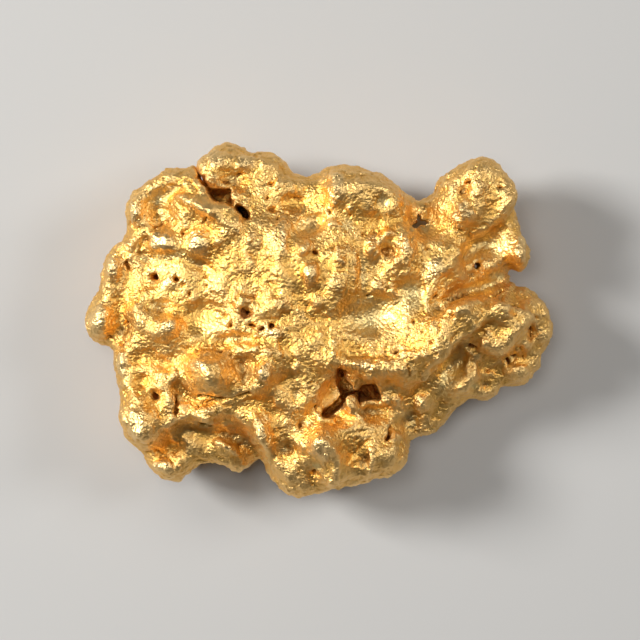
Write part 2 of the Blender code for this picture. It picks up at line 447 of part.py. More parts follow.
def roughen(body):
    """Pushes every point along its normal by rounded lumps that meet in creases."""
    points = points_of(body)
    normals = np.array([vertex.normal for vertex in body.data.vertices])
    push = np.zeros(len(points))
    above_rim = points[:, 2] - spot_height(points[:, :2], RIM_SPOTS)
    upper_share = np.clip(0.5 + 0.5 * above_rim / RIM_BAND, 0.0, 1.0)
    for wavelength, upper, lower in SKIN_WAVES:
        wave = np.array(
            [abs(noise.noise(Vector(point) / wavelength + SKIN_SEED)) for point in points]
        )
        push += (lower + (upper - lower) * upper_share) * (wave - wave.mean())
    sideways = SIDEWAYS * (1.0 - np.exp(-((above_rim / RIM_BAND) ** 2)))
    shares = np.stack([sideways, sideways, np.ones(len(points))], axis=1)
    move_points(body, points + normals * push[:, None] * shares)


def cut(body, cutter, operation="DIFFERENCE"):
    cutter.hide_render = True
    cutter.display_type = "WIRE"
    boolean = body.modifiers.new(cutter.name, "BOOLEAN")
    boolean.operation = operation
    boolean.solver = "MANIFOLD"
    boolean.object = cutter
    body = applied(body)
    bpy.data.objects.remove(cutter)
    return body


def room_cutter(name, x, y, height, half_length, half_width, half_height, turn):
    bpy.ops.mesh.primitive_ico_sphere_add(
        subdivisions=3,
        radius=MM,
        location=(x * MM, y * MM, height * MM),
        rotation=(0.0, 0.0, math.radians(turn)),
        scale=(half_length, half_width, half_height),
    )
    cutter = bpy.context.object
    cutter.name = name
    return cutter


def hole_cutter(name, x, y, radius):
    low, high = HOLE_SPAN
    bpy.ops.mesh.primitive_cylinder_add(
        vertices=HOLE_SIDES,
        radius=radius * MM,
        depth=(high - low) * MM,
        location=(x * MM, y * MM, 0.5 * (low + high) * MM),
    )
    cutter = bpy.context.object
    cutter.name = name
    return cutter


def place_on_origin(body):
    """Cuts the worn underside flat and moves the box's foot to the origin."""
    points = points_of(body)
    low = points.min(axis=0)
    high = points.max(axis=0)
    floor = low[2] + WEAR
    span, depth = WEAR_BLOCK
    corners = [(-span, -span), (span, -span), (span, span), (-span, span)]
    body = cut(body, prism("wear", corners, floor - depth, floor, smooth=False))
    middle = 0.5 * (low + high)
    shift = Vector((-middle[0], -middle[1], -floor)) * MM
    body.data.transform(Matrix.Translation(shift))
    return body


def gold():
    material = bpy.data.materials.new("gold")
    material.use_nodes = True
    shader = material.node_tree.nodes["Principled BSDF"]
    shader.inputs["Base Color"].default_value = GOLD_COLOUR
    shader.inputs["Metallic"].default_value = 1.0
    shader.inputs["Roughness"].default_value = GOLD_ROUGHNESS
    return material


def main():
    for obj in list(bpy.data.objects):
        bpy.data.objects.remove(obj)
    body = remeshed(prism("nugget", OUTLINE, -SLAB_HALF, SLAB_HALF), SLAB_VOXEL)
    lift_faces(body)
    body = remeshed(body, BODY_VOXEL)
    roughen(body)
    body = remeshed(body, SKIN_VOXEL)
    for name, (floor, outline) in CAVITIES.items():
        body = cut(body, prism(name, outline, floor, CAVITY_TOP, smooth=False))
    for name, size in ROOMS.items():
        body = cut(body, room_cutter(name, *size))
    for number, (x, y, radius) in enumerate(HOLES):
        body = cut(body, hole_cutter(f"hole_{number}", x, y, radius))
    body = remeshed(body, SKIN_VOXEL)
    thin = body.modifiers.new("Fewer faces", "DECIMATE")
    thin.ratio = TRIANGLES / (2 * len(body.data.polygons))
    body = applied(body)
    body = place_on_origin(body)
    body.name = "nugget"
    body.data.materials.clear()
    body.data.materials.append(gold())
    body.data.shade_smooth()


main()
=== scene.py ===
"""Looks of the gold nugget: its fine crumpled skin, its gold, the light and the camera.

The solid is remeshed finely and its facets are smoothed away. Then small lumps, ridges,
hollows, pits and slits go onto the upper side where the nugget has them, and crumpled
noise goes over the whole skin. Tables are in millimetres in plan, seen from above, with
x to the right and y up from the middle of the picture. Heights start from the floor.
"""

import math

import bmesh
import bpy
import numpy as np
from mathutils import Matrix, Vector, kdtree, noise


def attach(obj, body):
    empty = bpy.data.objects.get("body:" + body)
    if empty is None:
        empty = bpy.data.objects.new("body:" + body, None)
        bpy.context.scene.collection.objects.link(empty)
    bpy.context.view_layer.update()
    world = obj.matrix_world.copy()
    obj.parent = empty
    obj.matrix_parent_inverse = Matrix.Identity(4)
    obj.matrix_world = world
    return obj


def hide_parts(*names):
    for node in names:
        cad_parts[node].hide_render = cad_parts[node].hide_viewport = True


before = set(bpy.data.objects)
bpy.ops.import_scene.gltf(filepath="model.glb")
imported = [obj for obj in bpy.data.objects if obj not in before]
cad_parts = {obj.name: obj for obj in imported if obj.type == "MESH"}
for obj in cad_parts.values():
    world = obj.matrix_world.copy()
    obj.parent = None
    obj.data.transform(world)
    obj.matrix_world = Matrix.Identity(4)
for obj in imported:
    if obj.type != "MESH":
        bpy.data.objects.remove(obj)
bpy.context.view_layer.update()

MM = 0.001

# The picture: its side in pixels, its scale, and where its middle is on the floor
PICTURE_PIXELS = 640
PIXELS_PER_MM = 15.0
PICTURE_SPAN = PICTURE_PIXELS / PIXELS_PER_MM
PICTURE_MIDDLE = (0.0, 0.08)

# Height of the widest outline
RIM_HEIGHT = 4.2

# Fineness of the skin, and rounds of smoothing for the facets and for the cavities' edges
SKIN_VOXEL = 0.11
SKIN_TRIANGLES = 196000
SMOOTH_FACTOR = 0.5
FACET_SMOOTHING = 5
EDGE_SMOOTHING = 1

# Seeds of the noise
SEED = 11
WARP_SEED = Vector((5.3, 1.9, 8.4))
WOBBLE_SEED = Vector((2.7, 6.1, 0.9))

# Slow noise that shifts the crumples, and fine noise that frays the edges of the features
WARP = (1.6, 0.5)
WOBBLE = (0.55, 0.22)

# Rounded lumps: (wavelength, height on the upper side, height below the rim)
LUMPY = ((2.2, 0.18, 0.34), (1.0, 0.09, 0.24), (0.5, 0.05, 0.10))

# Creased planes: their size, steepest tilt and height, and the box that they fill
PLANES_CELL = 0.5
PLANES_SLOPE = 0.08
PLANES_LIMIT = 0.06
PLANES_BOX = ((-18.0, -14.0, -2.0), (18.0, 14.0, 13.0))

# Grain: (wavelength, height), and the share of it that smooth areas keep
GRAIN = ((0.3, 0.042), (0.17, 0.03))
GRAIN_IN_CALM = 0.6

# How much of each form is added to what the solid has
LUMP_RISE = 0.55
RIDGE_RISE = 0.6
HOLLOW_DEPTH = 0.3
WORN_RISE = 0.1
SLIT_DEPTH = 0.6

# How far below the rim the forms of the upper side reach, and how much the skin has to
# face upwards before they start and until they are full
UPPER_REACH = 1.6
FACING_START = 0.05
FACING_SPAN = 0.35

# How far the hollows and the orange patches, mostly painted bounce light, spread beyond their ovals
SPREAD = 1.2

# How steep the walls of a pit or slit are
BOWL_STEEPNESS = 1.6

# Sunk points: rounds of blurring for the shape they are compared with, and depth range
SHAPE_ROUNDS = 40
SUNK_SPAN = 0.5

# Depth from which a pit gets its full painted shade, and how much painted shade a slit gets beside a pit
FULLY_SHADED = 0.6
SLIT_SHADE = 0.6

# A cavity's wall, how much the skin at its mouth faces upwards, and how far below the
# mouth its painted shade starts and is full
CAVERN_WALL = 0.2
MOUTH_FACING = 0.7
CAVERN_START = 0.25
CAVERN_DEPTH = 1.1

# How steeply a smooth area starts at its edge
CALM_EDGE = 2.0

# Lumps: (x, y, half length, half width, turn in degrees, rise)
LUMPS = [
    (-12.0, 6.8, 0.35, 0.5, 0, 0.2), (-11.9, 7.6, 0.4, 0.5, -15, 0.15),
    (-6.55, 5.15, 0.35, 0.35, 0, 0.25), (-8.9, 8.0, 0.5, 0.35, -20, 0.2), (-7.9, 7.5, 0.45, 0.3, -40, 0.2),
    (-7.2, 7.0, 0.35, 0.3, -20, 0.2), (-6.25, 10.5, 0.5, 0.7, -20, 0.25), (-7.0, 9.3, 0.6, 0.35, 20, 0.3),
    (-7.75, 10.1, 0.3, 0.4, 0, 0.2), (-12.6, 4.15, 0.3, 0.25, 0, 0.25), (-11.85, 3.6, 0.25, 0.22, 0, 0.2),
    (-8.9, 8.95, 0.45, 0.35, 0, 0.2), (-2.75, 8.95, 0.4, 0.35, 0, 0.3), (1.0, 9.4, 0.35, 0.3, 0, 0.2),
    (1.2, 8.65, 0.35, 0.4, 0, 0.2), (0.9, 7.7, 0.35, 0.35, 0, 0.25), (0.3, 8.7, 0.35, 0.3, 0, 0.2),
    (-0.6, 8.5, 0.35, 0.25, 0, 0.15), (0.7, 6.3, 0.4, 0.35, 0, 0.25), (-4.65, 5.3, 0.25, 0.35, -20, 0.25),
    (-3.95, 5.0, 0.25, 0.4, 0, 0.25), (-1.05, 4.65, 0.35, 0.7, -30, 0.3), (-0.6, 3.0, 0.6, 0.95, 5, 0.35),
    (3.4, 4.6, 0.35, 0.35, 0, 0.3), (4.55, 5.65, 0.5, 0.3, 0, 0.3), (5.6, 5.05, 0.35, 0.5, 0, 0.3),
    (5.05, 3.9, 0.3, 0.35, 0, 0.3), (4.0, 5.3, 0.3, 0.3, 0, 0.25), (3.95, 2.15, 0.5, 0.5, 0, 0.3),
    (3.15, 7.2, 0.45, 0.4, 0, 0.2), (2.0, 7.3, 0.25, 0.25, 0, 0.2), (3.45, 6.15, 0.3, 0.25, 0, 0.2),
    (10.3, 9.5, 0.35, 0.35, 0, 0.3), (10.6, 8.9, 0.45, 0.3, -20, 0.2), (10.3, 8.35, 0.4, 0.4, 0, 0.25),
    (9.3, 7.2, 0.35, 0.3, 0, 0.25), (9.9, 7.0, 0.35, 0.3, 0, 0.25), (9.5, 6.7, 0.3, 0.25, 0, 0.2),
    (9.55, 7.7, 0.25, 0.3, 0, 0.2), (10.7, 4.3, 0.25, 0.3, 0, 0.2), (10.7, 2.9, 0.3, 0.3, 0, 0.2),
    (13.2, 5.1, 0.3, 0.45, 0, 0.2), (13.3, 4.2, 0.4, 0.5, 0, 0.2), (9.2, 0.7, 0.5, 0.35, 15, 0.3),
    (-9.9, -0.4, 0.6, 0.45, 20, 0.25), (-7.85, -2.9, 0.4, 0.35, 0, 0.25), (-7.0, -3.9, 0.6, 0.5, 0, 0.15),
    (-9.55, -3.6, 0.35, 0.5, 0, 0.3), (-10.4, -4.5, 0.35, 0.22, 0, 0.25), (-9.9, -5.1, 0.4, 0.4, 0, 0.25),
    (-11.6, -3.4, 0.5, 0.6, 20, 0.3), (-12.9, -6.6, 0.3, 0.5, 0, 0.2), (-11.9, -7.4, 0.55, 0.35, 30, 0.25),
    (-7.25, -5.95, 0.6, 0.35, 10, 0.3), (-6.15, -6.85, 0.5, 0.25, -10, 0.3), (-5.3, -7.85, 0.2, 0.2, 0, 0.2),
    (-9.7, -7.85, 0.3, 0.25, 0, 0.25), (-10.4, -9.8, 0.9, 0.5, -20, 0.2), (-4.15, -1.1, 0.3, 0.25, 0, 0.35),
    (-4.2, -2.05, 0.35, 0.3, 0, 0.3), (-2.6, -2.2, 0.4, 0.35, 0, 0.3), (-3.3, -2.1, 0.4, 0.3, 0, 0.2),
    (-3.7, -3.5, 0.45, 0.4, 0, 0.3), (2.3, -2.8, 0.35, 0.3, 0, 0.3), (3.1, -3.75, 0.35, 0.25, 0, 0.3),
    (3.7, -2.9, 0.35, 0.25, 0, 0.25), (4.3, -2.8, 0.35, 0.25, 0, 0.25), (2.9, -3.1, 0.3, 0.25, 0, 0.2),
    (5.05, -5.25, 0.35, 0.35, 0, 0.35), (4.35, -5.2, 0.25, 0.35, 0, 0.3), (5.5, -4.4, 0.25, 0.22, 0, 0.25),
    (5.9, -2.15, 0.35, 0.3, 0, 0.3), (0.05, -1.0, 0.3, 0.25, 0, 0.25), (0.85, -2.15, 0.3, 0.3, 0, 0.25),
    (5.05, -7.7, 0.45, 0.4, 0, 0.3), (-0.3, -8.4, 0.6, 0.5, 30, 0.2), (0.5, -9.0, 0.4, 0.4, 0, 0.2),
    (0.7, -10.7, 0.25, 0.2, 0, 0.25), (10.95, -0.85, 0.25, 0.35, 0, 0.3), (10.85, -1.5, 0.3, 0.3, 0, 0.3),
    (10.35, -2.45, 0.35, 0.3, 0, 0.3), (13.6, -1.6, 0.4, 0.4, 0, 0.25), (13.3, -3.35, 0.5, 0.4, 0, 0.3),
    (14.5, -2.9, 0.3, 0.5, 0, 0.25), (15.15, -0.75, 0.35, 0.6, 0, 0.2), (15.0, 0.3, 0.3, 0.3, 0, 0.2),
    (6.7, -5.9, 0.6, 0.45, 0, 0.2), (6.6, -5.1, 0.5, 0.3, 0, 0.25), (9.3, -4.5, 0.5, 0.4, 0, 0.2),
]

# Hollows with a smoother, deeper coloured floor: (x, y, half length, half width, turn, rise)
HOLLOWS = [
    (-10.9, 7.9, 1.0, 0.7, 50, -0.15), (-10.3, 6.9, 0.8, 0.6, 0, -0.15), (-9.8, 8.6, 0.7, 0.4, 15, -0.1),
    (-0.6, 6.25, 1.5, 0.6, 22, -0.2), (-11.45, 5.3, 0.35, 0.25, 0, -0.5), (-11.1, 4.05, 0.9, 0.35, -10, -0.2),
    (-9.6, 4.2, 0.8, 0.25, 10, -0.15), (-8.0, 3.75, 0.9, 0.25, -15, -0.15),
    (-10.45, 0.85, 0.8, 0.5, 0, -0.25),
    (-5.6, -1.2, 1.0, 0.3, 0, -0.25), (-5.05, -3.3, 0.45, 1.0, 15, -0.3), (-13.2, -0.8, 0.35, 0.4, 0, -0.3),
    (-4.55, 1.85, 0.4, 0.25, -10, -0.35), (4.4, 4.5, 0.45, 0.25, 0, -0.4), (4.5, 4.1, 0.4, 0.3, 0, -0.2),
    (3.7, 3.55, 0.45, 0.5, 0, -0.25), (2.8, 3.1, 0.25, 1.2, 0, -0.2), (4.1, 7.8, 0.4, 0.45, 0, -0.3),
    (1.85, 6.2, 0.45, 0.5, 0, -0.2), (-5.8, 9.1, 0.6, 0.5, 0, -0.25), (-3.1, 9.4, 0.4, 0.25, 20, -0.15),
    (3.6, 1.3, 1.4, 0.3, -5, -0.2), (3.2, 0.0, 1.7, 1.1, 0, -0.15), (6.0, 1.6, 0.9, 1.0, 0, -0.15),
    (7.7, 0.8, 0.7, 0.6, 0, -0.2), (11.2, 4.9, 1.7, 0.8, 10, -0.2), (9.7, 4.2, 0.4, 0.5, 0, -0.2),
    (10.0, 3.0, 0.35, 0.25, 0, -0.3), (11.7, 2.9, 0.5, 0.45, 0, -0.25), (10.6, 2.1, 1.6, 0.4, 12, -0.2),
    (8.9, 1.5, 0.5, 0.25, 20, -0.15), (6.6, 6.5, 0.9, 0.8, 0, -0.1), (9.6, -1.6, 0.5, 0.5, 0, -0.2),
    (8.7, -3.3, 0.8, 1.8, -20, -0.1), (14.1, -0.9, 0.3, 0.5, 0, -0.3), (12.6, -2.6, 0.5, 0.3, 30, -0.4),
    (10.15, -4.3, 0.35, 0.25, 0, -0.4), (10.95, -4.3, 0.35, 0.25, 0, -0.4), (6.0, -6.6, 0.6, 0.6, 0, -0.3),
    (-1.6, -4.9, 0.4, 0.4, 0, -0.35), (-1.2, -6.9, 0.4, 0.35, 0, -0.35), (3.2, -6.1, 0.8, 0.25, 5, -0.3),
    (4.7, -4.4, 0.4, 0.3, 0, -0.35), (2.85, -9.3, 0.35, 0.45, 0, -0.3), (-0.35, -9.7, 0.45, 0.35, 0, -0.3),
    (-2.4, -8.4, 0.6, 0.5, 0, -0.2), (-8.7, -7.3, 0.45, 0.4, 0, -0.4), (-6.2, -7.7, 0.4, 0.25, 0, -0.3),
    (-5.5, -7.9, 0.4, 0.3, 0, -0.3), (-4.9, -8.2, 0.3, 0.35, 0, -0.25), (9.45, 8.4, 0.25, 0.35, 0, -0.35),
    (11.9, 9.05, 0.35, 0.35, 0, -0.2), (-10.95, -4.95, 0.3, 0.35, 0, -0.4), (-10.5, -3.4, 0.3, 0.3, 0, -0.2),
    (5.05, -2.05, 0.35, 0.3, 0, -0.3),
]

# Pits: (x, y, half length, half width, turn, depth)
PITS = [
    (-9.1, 5.7, 0.19, 0.19, 0, 0.5), (-7.45, 6.55, 0.13, 0.13, 0, 0.3), (-10.95, 2.85, 0.27, 0.27, 0, 0.9),
    (-9.45, 2.6, 0.28, 0.2, -15, 0.7), (-9.0, 2.25, 0.3, 0.13, 0, 0.25), (-8.45, 1.7, 0.16, 0.13, -20, 0.3),
    (-7.45, 2.15, 0.13, 0.13, 0, 0.3), (-7.4, 2.85, 0.13, 0.13, 0, 0.2), (-12.8, -0.15, 0.2, 0.16, 0, 0.5),
    (-13.95, -1.2, 0.2, 0.16, 0, 0.4), (-13.2, -1.45, 0.14, 0.14, 0, 0.3), (-12.95, -1.4, 0.17, 0.2, 0, 0.4),
    (-4.8, 0.45, 0.44, 0.3, -20, 1.1), (-4.5, -0.35, 0.36, 0.15, 0, 0.5), (-3.8, -0.55, 0.28, 0.16, 20, 0.55),
    (-3.15, -0.35, 0.2, 0.25, 0, 0.7), (-5.9, -0.35, 0.2, 0.2, 0, 0.6), (-6.2, 0.3, 0.13, 0.13, 0, 0.2),
    (-9.45, -2.5, 0.14, 0.14, 0, 0.4), (-6.55, -1.95, 0.27, 0.18, -15, 0.4),
    (-5.75, -2.25, 0.25, 0.18, 0, 0.3),
    (3.2, 1.5, 0.18, 0.14, 0, 0.4), (9.75, 9.1, 0.28, 0.17, 0, 0.7), (9.3, 8.4, 0.16, 0.16, 0, 0.3),
    (11.95, 8.85, 0.18, 0.18, 0, 0.5), (11.8, 8.0, 0.14, 0.14, 0, 0.3), (7.15, 4.7, 0.13, 0.13, 0, 0.3),
    (4.35, 6.75, 0.13, 0.13, 0, 0.3), (2.8, 5.65, 0.15, 0.13, 0, 0.3), (1.95, 6.9, 0.14, 0.14, 0, 0.3),
    (0.6, 7.05, 0.18, 0.14, 0, 0.4), (0.3, 6.65, 0.13, 0.13, 0, 0.3), (7.55, 1.5, 0.13, 0.13, 0, 0.3),
    (6.05, 0.0, 0.2, 0.15, 20, 0.6), (6.65, -0.7, 0.13, 0.13, 0, 0.3), (7.2, -1.45, 0.14, 0.13, 0, 0.4),
    (8.6, 0.35, 0.2, 0.14, -20, 0.5), (5.05, -2.05, 0.24, 0.2, 0, 0.4), (4.75, -2.45, 0.2, 0.13, 0, 0.3),
    (14.15, -0.65, 0.15, 0.3, 10, 0.5), (14.1, -1.2, 0.14, 0.2, 0, 0.4), (13.5, -2.5, 0.2, 0.14, 0, 0.4),
    (12.9, -2.4, 0.24, 0.17, 30, 0.6), (12.55, -2.75, 0.16, 0.25, 0, 0.5), (10.0, -1.85, 0.3, 0.25, 0, 0.4),
    (1.85, -6.85, 0.18, 0.14, 0, 0.4), (-0.2, -5.8, 0.2, 0.18, 0, 0.7), (-1.35, -6.85, 0.14, 0.14, 0, 0.3),
    (-0.75, -7.0, 0.13, 0.13, 0, 0.3), (-0.45, -9.95, 0.2, 0.14, 0, 0.3), (-10.95, -4.95, 0.2, 0.28, 0, 0.5),
    (-0.3, 4.35, 0.18, 0.18, 0, 0.4), (-3.1, 7.3, 0.2, 0.16, 30, 0.3), (-2.8, 6.8, 0.14, 0.25, 0, 0.35),
    (-2.2, 6.95, 0.18, 0.2, 0, 0.35), (-3.25, 8.95, 0.2, 0.13, 20, 0.4), (-3.5, 8.1, 0.25, 0.14, 30, 0.3),
    (-6.1, 9.0, 0.2, 0.16, 0, 0.3), (-5.4, 9.5, 0.2, 0.14, 40, 0.3), (11.3, -3.35, 0.2, 0.16, 0, 0.25),
]

# Slits: (half width, depth, points)
SLITS = [
    (0.12, 0.35, [(-12.45, 6.45), (-12.3, 6.15), (-12.1, 5.95)]),
    (0.12, 0.35, [(-11.2, 6.0), (-10.7, 6.3), (-10.1, 6.45)]),
    (0.12, 0.45, [(-12.75, 3.85), (-12.65, 3.6), (-12.7, 3.3)]),
    (0.12, 0.6, [(-9.5, -5.1), (-9.4, -5.4), (-9.5, -5.8), (-9.35, -6.25)]),
    (0.12, 0.3, [(-1.7, 8.1), (-1.35, 8.05), (-1.05, 8.0)]),
    (0.12, 0.3, [(8.45, 6.5), (8.45, 6.3), (8.5, 6.1)]),
    (0.12, 0.3, [(8.85, 6.0), (9.1, 5.9), (9.35, 5.75)]),
    (0.2, 0.9, [(4.75, -6.95), (4.6, -7.15), (4.6, -7.5), (4.5, -7.8)]),
    (0.14, 0.5, [(-8.1, -6.85), (-7.75, -6.95), (-7.2, -6.95)]),
    (0.12, 0.3, [(-10.2, -8.9), (-10.05, -9.25), (-9.9, -9.5)]),
    (0.12, 0.25, [(-11.6, -8.8), (-11.0, -8.75), (-10.2, -9.0)]),
    (0.13, 0.35, [(-8.0, -4.9), (-7.2, -5.05), (-6.3, -5.2), (-5.2, -5.0), (-4.6, -4.85)]),
    (0.12, 0.25, [(-8.1, -5.7), (-7.6, -5.35), (-6.5, -5.4), (-5.9, -5.75)]),
    (0.12, 0.25, [(-1.0, 0.9), (-0.7, 0.4), (-0.4, 0.0)]),
    (0.13, 0.35, [(-5.6, 1.5), (-5.3, 1.75), (-4.7, 1.8), (-4.35, 1.6)]),
    (0.13, 0.4, [(11.65, 1.7), (11.95, 2.05)]),
    (0.13, 0.3, [(12.1, 1.7), (12.1, 1.5)]),
    (0.14, 0.45, [(10.9, 1.65), (11.3, 1.5), (12.0, 1.15), (12.9, 0.95), (13.7, 0.65), (14.4, 0.1)]),
    (0.13, 0.3, [(8.2, 1.4), (8.9, 1.45), (9.6, 1.75)]),
    (0.12, 0.2, [(3.3, -7.7), (2.7, -8.3), (2.2, -9.0)]),
    (0.12, 0.3, [(7.85, -0.35), (7.75, -0.6), (7.6, -0.9)]),
    (0.12, 0.25, [(6.2, -7.35), (7.0, -7.4), (7.7, -7.2)]),
    (0.12, 0.2, [(1.7, -2.3), (3.0, -2.35), (4.6, -2.3)]),
    (0.12, 0.3, [(5.75, -2.9), (5.85, -3.5)]),
    (0.12, 0.25, [(5.45, 8.0), (5.5, 6.8), (6.0, 6.0)]),
    (0.12, 0.3, [(-8.6, 9.2), (-8.3, 8.9), (-8.1, 8.5)]),
    (0.12, 0.25, [(-5.25, -8.2), (-5.2, -8.7)]),
]

# Ridges: (half width, rise, points)
RIDGES = [
    (0.3, 0.3, [(9.3, 4.3), (9.35, 5.1), (9.95, 5.5), (11.0, 6.05), (11.65, 6.6), (12.1, 7.1),
                (12.5, 7.8), (12.8, 8.4)]),
    (0.3, 0.3, [(10.2, -0.35), (9.65, -0.9), (9.15, -1.15), (8.55, -1.5), (8.25, -2.2),
                (7.8, -2.6), (7.2, -3.1), (6.8, -3.7)]),
    (0.3, 0.25, [(8.4, 0.6), (9.2, 0.95), (10.3, 1.2), (11.1, 1.35), (11.9, 0.9), (12.8, 0.75),
                 (13.6, 0.4), (14.1, 0.0)]),
    (0.28, 0.3, [(-10.2, -7.0), (-9.35, -6.35), (-8.4, -6.15), (-7.7, -6.5), (-7.1, -6.7)]),
    (0.3, 0.3, [(-9.2, 8.0), (-8.4, 7.7), (-7.6, 7.3)]),
    (0.25, 0.3, [(1.15, 4.6), (1.2, 4.2), (1.4, 3.7)]),
    (0.22, 0.25, [(-4.95, 4.6), (-4.55, 3.85)]),
    (0.3, 0.3, [(0.2, -7.9), (0.8, -8.5), (1.15, -9.4), (1.05, -10.5)]),
    (0.25, 0.3, [(3.4, -8.5), (3.35, -9.2), (3.25, -9.9)]),
    (0.3, 0.35, [(-4.15, -6.5), (-3.95, -7.3), (-3.55, -8.1)]),
    (0.28, 0.35, [(-6.8, -8.1), (-6.2, -8.4), (-5.6, -8.75)]),
    (0.22, 0.35, [(1.95, -5.05), (2.0, -5.6), (2.6, -6.5)]),
    (0.22, 0.3, [(-0.1, -6.3), (0.3, -6.6), (1.0, -6.5)]),
    (0.22, 0.25, [(9.9, -2.0), (10.0, -2.6), (9.6, -3.4)]),
    (0.22, 0.2, [(7.0, 3.0), (7.1, 1.8), (7.05, 0.7)]),
    (0.25, 0.25, [(-1.6, -2.0), (-1.5, -2.7), (-1.6, -3.2)]),
    (0.22, 0.2, [(2.25, 4.3), (2.35, 3.4), (2.3, 2.6)]),
    (0.22, 0.2, [(4.75, 2.5), (4.7, 2.0), (4.95, 1.6)]),
    (0.3, 0.25, [(-13.05, -2.3), (-13.15, -3.3), (-13.0, -4.3)]),
]

# Patches painted orange, mostly painted bounce light in the hollows and some an orange tint on raised spots:
# (x, y, half length, half width, turn)
ORANGE_AND_BOUNCE = [
    (-10.6, 7.7, 1.0, 0.6, 50), (-10.45, 0.85, 0.8, 0.5, 0), (-5.6, -1.2, 1.0, 0.35, 0),
    (-5.05, -3.3, 0.5, 1.1, 15), (-13.2, -0.8, 0.5, 0.5, 0), (4.4, 4.5, 0.45, 0.3, 0),
    (3.6, 1.25, 1.2, 0.3, -5), (4.7, -4.4, 0.5, 0.4, 0), (-6.2, -7.8, 0.5, 0.35, 0),
    (-5.5, -8.0, 0.4, 0.4, 0), (-8.7, -7.3, 0.5, 0.4, 0), (8.9, -4.0, 0.5, 0.3, -30),
    (10.6, 2.1, 1.4, 0.35, 12),
    (-5.4, 9.0, 1.0, 0.8, 0), (-3.1, 9.2, 0.5, 0.4, 0), (9.6, 8.6, 0.4, 0.6, 0),
    (14.1, -1.6, 0.5, 0.9, 0), (3.4, -4.8, 1.2, 0.9, 0), (1.6, -4.0, 0.6, 1.0, 0),
    (6.7, -5.8, 0.5, 0.5, 0), (12.4, -0.4, 0.4, 0.5, 0),
]

# High spots that are worn flat and painted paler as painted highlights: (x, y, half length, half width, turn)
HIGHLIGHT_AND_WEAR = [
    (-10.4, 5.2, 1.1, 0.85, 10), (-8.0, 5.0, 0.95, 1.1, 0), (-13.7, 3.5, 0.6, 0.9, 10),
    (-14.6, 0.2, 0.85, 1.5, -15), (-2.4, 5.4, 0.35, 1.3, 0), (-0.65, 3.1, 0.6, 1.1, 0),
    (1.1, 8.7, 0.7, 1.3, 0), (5.5, 5.0, 0.5, 0.9, 10), (3.6, 5.3, 0.6, 0.6, 0),
    (7.4, 3.3, 1.2, 0.9, 20), (9.4, 6.9, 0.9, 0.9, 0), (13.2, 4.8, 0.6, 1.1, -10),
    (-7.9, -2.7, 1.0, 0.8, 20), (-13.0, -2.9, 0.4, 1.2, 0), (-12.1, -6.8, 0.9, 1.5, 0),
    (-3.7, -7.1, 0.5, 1.2, -15), (-3.6, -3.4, 0.7, 0.8, 0), (5.3, -2.1, 0.7, 0.5, 0),
    (0.0, -8.5, 0.8, 1.3, 25), (-9.9, -0.4, 0.8, 0.6, 10), (-3.2, -0.7, 1.2, 0.6, -10),
    (-12.2, 7.0, 0.4, 1.0, 0), (-10.4, -9.7, 0.9, 0.6, -20), (3.0, -3.0, 0.9, 0.4, 0),
    (6.6, -5.4, 0.5, 0.6, 0), (-4.9, 10.4, 0.8, 0.6, 0), (-6.9, 10.6, 0.7, 0.8, 0),
]

# Smooth areas: (x, y, half length, half width, turn, how smooth)
CALM = [
    (-8.8, 2.7, 3.2, 1.3, 0, 0.6), (-7.5, -0.1, 1.8, 1.5, 0, 0.75), (3.3, 0.1, 2.7, 1.8, 0, 0.8),
    (6.0, 1.7, 1.3, 1.4, 0, 0.6), (8.8, -3.2, 1.0, 1.9, -20, 0.6), (11.1, 4.9, 2.1, 1.2, 10, 0.7),
    (6.6, 6.6, 1.4, 1.3, 0, 0.9), (-6.5, 7.1, 2.1, 1.2, -35, 0.6), (-1.5, 7.7, 1.3, 0.8, 0, 0.7),
    (-0.6, 6.2, 1.8, 0.8, 22, 0.8), (8.5, 4.0, 1.6, 1.6, 0, 0.5), (10.6, 2.1, 1.9, 0.6, 12, 0.8),
    (-2.2, -4.0, 1.3, 1.1, -20, 0.6), (1.9, -9.4, 1.1, 1.4, 0, 0.6), (3.0, 7.8, 2.1, 1.7, 0, 0.5),
    (11.5, 9.0, 1.2, 1.2, 0, 0.5), (-10.2, 5.1, 1.1, 0.9, 0, 0.6), (-8.1, 4.9, 1.0, 1.0, 0, 0.6),
    (-14.5, 0.0, 1.1, 1.6, 0, 0.4), (9.3, -4.7, 1.3, 0.7, 0, 0.6), (-7.0, -3.6, 1.3, 1.3, 0, 0.4),
    (-8.5, -8.0, 2.2, 1.0, 0, 0.6), (-10.9, 7.7, 1.4, 1.0, 50, 0.6), (11.4, -0.9, 1.0, 1.4, 0, 0.4),
    (-1.9, 2.6, 1.0, 2.0, 0, 0.4), (3.2, 3.2, 1.3, 1.8, 0, 0.4), (5.3, -2.9, 0.8, 0.4, 0, 0.2),
]

